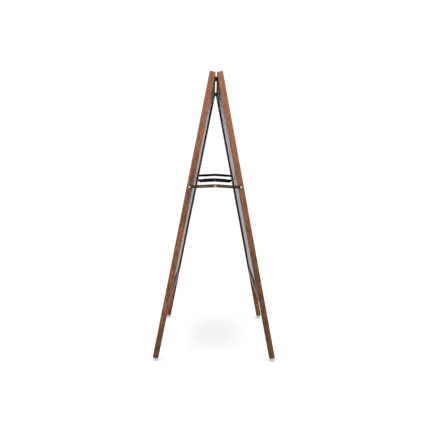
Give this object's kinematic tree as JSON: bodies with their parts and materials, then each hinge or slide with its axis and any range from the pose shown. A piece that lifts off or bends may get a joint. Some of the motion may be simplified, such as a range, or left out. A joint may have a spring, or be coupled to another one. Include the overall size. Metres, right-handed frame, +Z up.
{
  "type": "folding chalkboard easel",
  "caption": "Double-sided chalkboard easel: wooden frames hinged at the top around recessed boards, held open by folding steel stays, on rubber feet.",
  "frame": {"origin": "centre of the footprint, on the floor under the four feet, with the easel standing open", "axes": "+Z up, +X along the hinge line to the right as seen from in front, front board facing -Y"},
  "size_m": [0.525, 0.4372, 1.0125],
  "materials": {
    "stained_wood": "reddish brown stain, satin",
    "pale_wood": "bare hardwood",
    "chalk_surface": "matt black writing coat",
    "backing": "matt warm grey board",
    "stay_steel": "dull pressed strip",
    "hinge_steel": "dark plated",
    "zinc_fastener": "bright zinc",
    "foot_rubber": "pale grey, smooth"
  },
  "bodies": {
    "front_frame": {"front_top_rail": "stained_wood", "front_bottom_rail": "stained_wood", "front_writing_sheet": "chalk_surface", "front_backing_board": "backing", "front_left_stile": "stained_wood", "front_left_dowel": "pale_wood", "front_left_mitre_key": "pale_wood", "front_left_foot": "foot_rubber", "front_left_hinge_leaf": "hinge_steel", "front_left_hinge_screw_1": "zinc_fastener", "front_left_hinge_screw_2": "zinc_fastener", "front_right_stile": "stained_wood", "front_right_dowel": "pale_wood", "front_right_mitre_key": "pale_wood", "front_right_foot": "foot_rubber", "front_right_hinge_leaf": "hinge_steel", "front_right_hinge_screw_1": "zinc_fastener", "front_right_hinge_screw_2": "zinc_fastener", "front_right_stay_screw": "zinc_fastener", "front_right_stay_washer": "zinc_fastener", "front_left_stay_screw": "zinc_fastener", "front_left_stay_washer": "zinc_fastener", "front_inner_stay_screw": "zinc_fastener", "front_inner_stay_washer": "zinc_fastener", "left_hinge_pin": "hinge_steel", "right_hinge_pin": "hinge_steel"},
    "rear_frame": {"rear_top_rail": "stained_wood", "rear_bottom_rail": "stained_wood", "rear_writing_sheet": "chalk_surface", "rear_backing_board": "backing", "rear_left_stile": "stained_wood", "rear_left_dowel": "pale_wood", "rear_left_mitre_key": "pale_wood", "rear_left_foot": "foot_rubber", "rear_left_hinge_leaf": "hinge_steel", "rear_left_hinge_screw_1": "zinc_fastener", "rear_left_hinge_screw_2": "zinc_fastener", "rear_right_stile": "stained_wood", "rear_right_dowel": "pale_wood", "rear_right_mitre_key": "pale_wood", "rear_right_foot": "foot_rubber", "rear_right_hinge_leaf": "hinge_steel", "rear_right_hinge_screw_1": "zinc_fastener", "rear_right_hinge_screw_2": "zinc_fastener", "rear_right_stay_screw": "zinc_fastener", "rear_right_stay_washer": "zinc_fastener", "rear_left_stay_screw": "zinc_fastener", "rear_left_stay_washer": "zinc_fastener", "rear_inner_stay_screw": "zinc_fastener", "rear_inner_stay_washer": "zinc_fastener"},
    "front_right_arm": {"front_right_stay_arm": "stay_steel"},
    "rear_right_arm": {"rear_right_stay_arm": "stay_steel", "rear_right_stay_rivet": "zinc_fastener"},
    "front_left_arm": {"front_left_stay_arm": "stay_steel"},
    "rear_left_arm": {"rear_left_stay_arm": "stay_steel", "rear_left_stay_rivet": "zinc_fastener"},
    "front_inner_arm": {"front_inner_stay_arm": "stay_steel"},
    "rear_inner_arm": {"rear_inner_stay_arm": "stay_steel", "rear_inner_stay_rivet": "zinc_fastener"}
  },
  "joints": [
    {"name": "fold", "type": "hinge", "parent": "front_frame", "child": "rear_frame", "pos_m": [0, 0, 1.00363], "axis": [-1, 0, 0], "range_deg": [0, 22.57]},
    {"name": "front_right_arm_turn", "type": "hinge", "parent": "front_frame", "child": "front_right_arm", "pos_m": [0.254, -0.0884, 0.62304], "axis": [1, 0, 0], "range_deg": [0, 67.5]},
    {"name": "rear_right_arm_turn", "type": "hinge", "parent": "rear_frame", "child": "rear_right_arm", "pos_m": [0.254, 0.0884, 0.62304], "axis": [-1, 0, 0], "range_deg": [0, 67.5]},
    {"name": "front_left_arm_turn", "type": "hinge", "parent": "front_frame", "child": "front_left_arm", "pos_m": [-0.254, -0.08183, 0.65639], "axis": [1, 0, 0], "range_deg": [0, 66.8]},
    {"name": "rear_left_arm_turn", "type": "hinge", "parent": "rear_frame", "child": "rear_left_arm", "pos_m": [-0.254, 0.08183, 0.65639], "axis": [-1, 0, 0], "range_deg": [0, 66.8]},
    {"name": "front_inner_arm_turn", "type": "hinge", "parent": "front_frame", "child": "front_inner_arm", "pos_m": [-0.224, -0.07844, 0.63585], "axis": [1, 0, 0], "range_deg": [0, 71.82]},
    {"name": "rear_inner_arm_turn", "type": "hinge", "parent": "rear_frame", "child": "rear_inner_arm", "pos_m": [-0.224, 0.07844, 0.63585], "axis": [-1, 0, 0], "range_deg": [0, 71.82]}
  ],
  "couplings": [
    {"joint": "front_right_arm_turn", "follows": "fold", "ratio": 2.9899},
    {"joint": "rear_right_arm_turn", "follows": "fold", "ratio": 2.9899},
    {"joint": "front_left_arm_turn", "follows": "fold", "ratio": 2.9588},
    {"joint": "rear_left_arm_turn", "follows": "fold", "ratio": 2.9588},
    {"joint": "front_inner_arm_turn", "follows": "fold", "ratio": 3.1811},
    {"joint": "rear_inner_arm_turn", "follows": "fold", "ratio": 3.1811}
  ]
}
